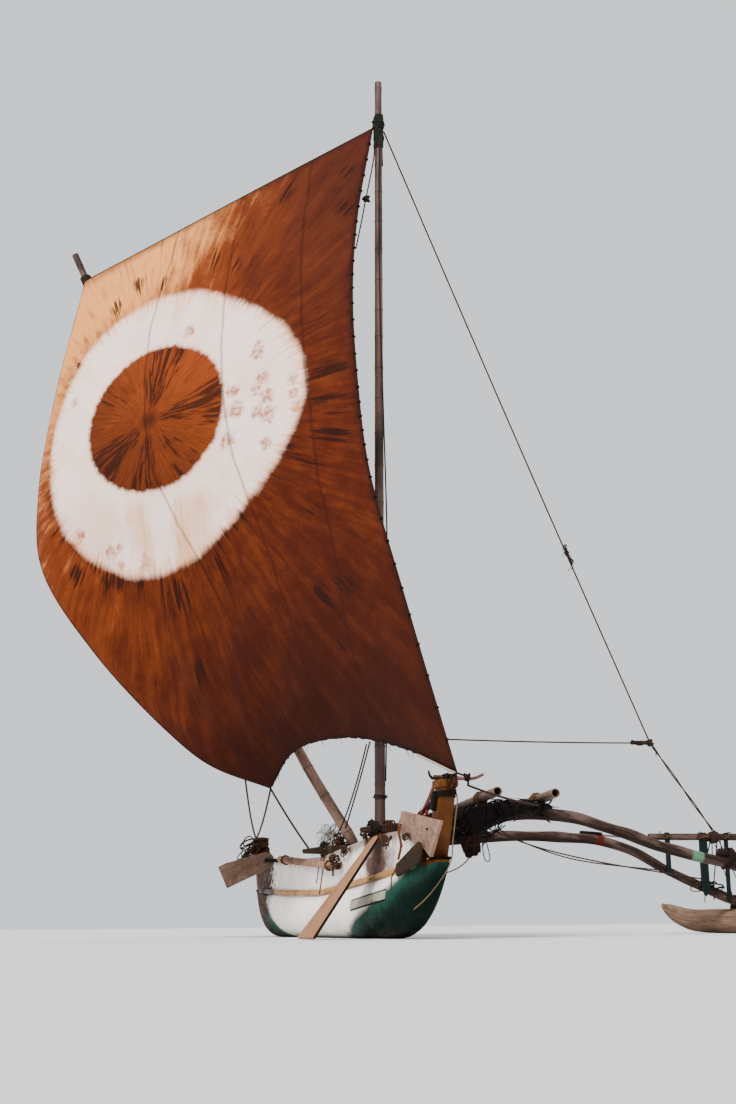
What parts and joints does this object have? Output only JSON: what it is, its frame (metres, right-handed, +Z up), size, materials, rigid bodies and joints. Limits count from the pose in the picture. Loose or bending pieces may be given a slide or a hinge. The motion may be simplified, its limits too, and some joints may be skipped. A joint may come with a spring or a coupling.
{
  "type": "sailing outrigger canoe",
  "caption": "Double-ended sailing outrigger canoe with a spritsail, a log float on arched booms, a brushwood platform, a leeboard and steering boards.",
  "frame": {"origin": "middle of the keel's flat underside, on the ground", "axes": "+X to the fore end, +Y to the outrigger, +Z up"},
  "size_m": [9.4675, 9.6166, 10.6504],
  "materials": {
    "white_paint": "satin",
    "yellow_paint": "satin",
    "green_paint": "satin",
    "log": "matte",
    "bamboo": "satin",
    "grey_wood": "matte",
    "dark_wood": "matte",
    "driftwood": "matte",
    "rope": "matte",
    "sail_cloth": "matte"
  },
  "bodies": {
    "hull": {"dugout_bottom_aft": "white_paint", "dugout_bottom_waist": "white_paint", "dugout_bottom_fore": "white_paint", "dugout_side_lee_aft": "white_paint", "dugout_side_lee_waist": "white_paint", "dugout_side_lee_fore": "white_paint", "dugout_side_outrigger_aft": "white_paint", "dugout_side_outrigger_waist": "white_paint", "dugout_side_outrigger_fore": "white_paint", "dugout_fore_end": "white_paint", "dugout_aft_end": "white_paint", "washstrake_lee_aft": "white_paint", "washstrake_lee_waist": "white_paint", "washstrake_lee_fore": "white_paint", "washstrake_outrigger_aft": "white_paint", "washstrake_outrigger_waist": "white_paint", "washstrake_outrigger_fore": "white_paint", "rubbing_strake_lee": "yellow_paint", "rubbing_strake_outrigger": "yellow_paint", "fore_stempost": "yellow_paint", "aft_stempost": "yellow_paint", "fore_stem_cap": "yellow_paint", "aft_stem_cap": "yellow_paint", "aft_oar_bar": "green_paint", "fore_boom": "log", "aft_boom": "log", "fore_boom_doubler": "log", "rail": "log", "spare_pole": "bamboo", "platform_pole_inner": "bamboo", "platform_pole_outer": "bamboo", "fore_thwart": "grey_wood", "waist_thwart": "grey_wood", "aft_thwart": "grey_wood", "fore_boom_beam": "grey_wood", "aft_boom_beam": "grey_wood", "tack_stick": "grey_wood", "mast_step": "dark_wood", "sprit_step": "dark_wood", "platform_bed": "dark_wood", "fore_board_pin": "dark_wood", "spare_board": "dark_wood", "outrigger_float": "driftwood", "fore_boom_lashing": "rope", "aft_boom_lashing": "rope", "fore_float_lashing": "rope", "aft_float_lashing": "rope", "stay_foot_lashing": "rope", "main_stay": "rope", "leeboard_becket": "rope"},
    "mast": {"mast": "bamboo", "masthead_lashing": "rope", "sail": "sail_cloth"},
    "sprit": {"sprit": "bamboo", "peak_lashing": "rope"},
    "leeboard": {"leeboard": "grey_wood"},
    "fore_steering_board": {"fore_steering_board": "grey_wood"},
    "aft_steering_board": {"aft_steering_board": "grey_wood"}
  },
  "joints": [
    {"name": "mast_lean", "type": "hinge", "parent": "hull", "child": "mast", "pos_m": [2.175, 0.005, 1.14], "axis": [-0.9996, 0.02, 0.0185], "range_deg": [0, 8], "deforming": ["main_stay", "sail"]},
    {"name": "sprit_swing", "type": "hinge", "parent": "mast", "child": "sprit", "pos_m": [0.825, 0.032, 1.165], "axis": [-0.7607, 0.6393, 0.1126], "range_deg": [0, 15], "deforming": ["sail"]},
    {"name": "leeboard_swing", "type": "hinge", "parent": "hull", "child": "leeboard", "pos_m": [2.775, -0.206, 1.085], "axis": [-1, 0, 0], "range_deg": [0, 60]},
    {"name": "fore_board_swing", "type": "hinge", "parent": "hull", "child": "fore_steering_board", "pos_m": [4.425, -0.12, 1.08], "axis": [-0.0526, 0.9986, 0], "range_deg": [0, 60]},
    {"name": "aft_board_swing", "type": "hinge", "parent": "hull", "child": "aft_steering_board", "pos_m": [-2.565, -0.33, 1.05198], "axis": [1, 0, 0], "range_deg": [0, 50]}
  ]
}
